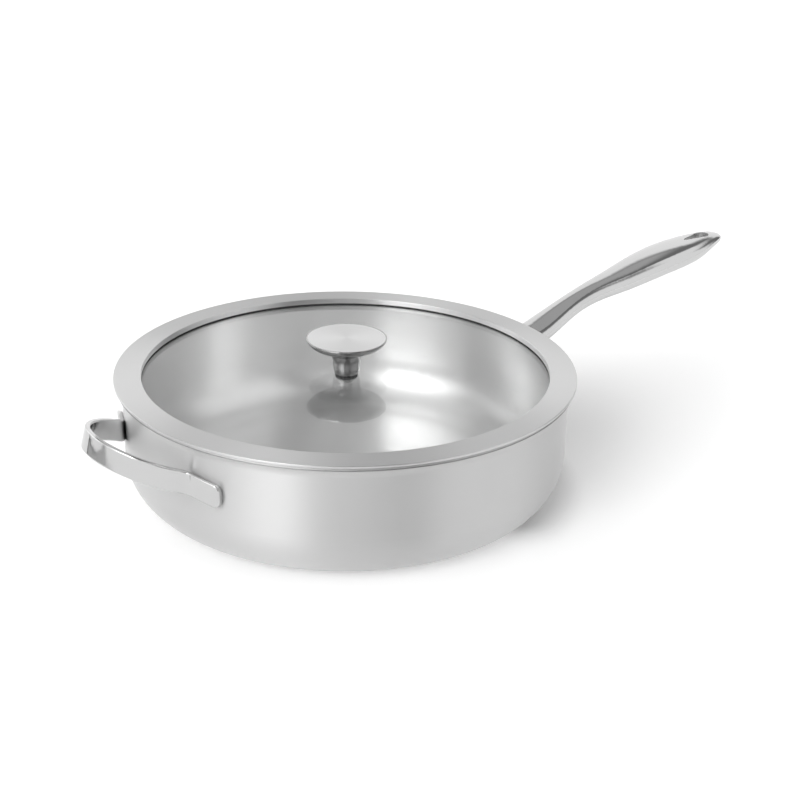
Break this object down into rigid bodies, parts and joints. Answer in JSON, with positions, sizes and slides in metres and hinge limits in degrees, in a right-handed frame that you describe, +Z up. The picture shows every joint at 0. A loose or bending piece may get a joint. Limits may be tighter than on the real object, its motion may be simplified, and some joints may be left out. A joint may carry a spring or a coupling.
{
  "type": "saute pan with lid",
  "caption": "Wide straight-sided clad steel saute pan with a long hollow handle, a helper handle and a flat glass lid in a steel band with a trumpet-shaped knob.",
  "frame": {"origin": "centre of the flat base, on the worktop", "axes": "+X along the long handle, +Z up out of the pan, the helper handle on -X; the pan is symmetric across the plane y = 0"},
  "size_m": [0.5086, 0.295, 0.121],
  "materials": {
    "brushed_outside": "brushed round the wall, fine grain",
    "brushed_inside": "brushed round the wall and in rings on the floor",
    "aluminium_core": "bare rolled core, seen only at the rim",
    "cast_steel": "cast and tumbled",
    "polished_steel": "mirror polished stainless steel",
    "polished_strap": "mirror polished stainless steel",
    "brushed_band": "fine rings along the band",
    "silicone": "matt dark grey silicone",
    "lid_glass": "clear tempered glass",
    "polished_knob": "mirror polished stainless steel",
    "satin_cap": "satin, blank disc",
    "fixing_steel": "plain stainless steel"
  },
  "bodies": {
    "pan": {"pan_outer_skin": "brushed_outside", "pan_core": "aluminium_core", "pan_inner_skin": "brushed_inside", "handle_foot": "cast_steel", "handle_upper_shell": "polished_steel", "handle_lower_shell": "polished_steel", "hang_eyelet": "polished_steel", "helper_handle": "polished_strap"},
    "lid": {"lid_rim": "brushed_band", "lid_seal": "silicone", "lid_glass": "lid_glass", "knob_body": "polished_knob", "knob_cap": "satin_cap", "knob_bush": "cast_steel", "knob_ring": "silicone", "soft_washer": "silicone", "steel_washer": "fixing_steel", "knob_screw": "fixing_steel"}
  },
  "joints": [
    {"name": "lid_lift", "type": "slide", "parent": "pan", "child": "lid", "axis": [0, 0, 1], "range_m": [0, 0.08]}
  ]
}
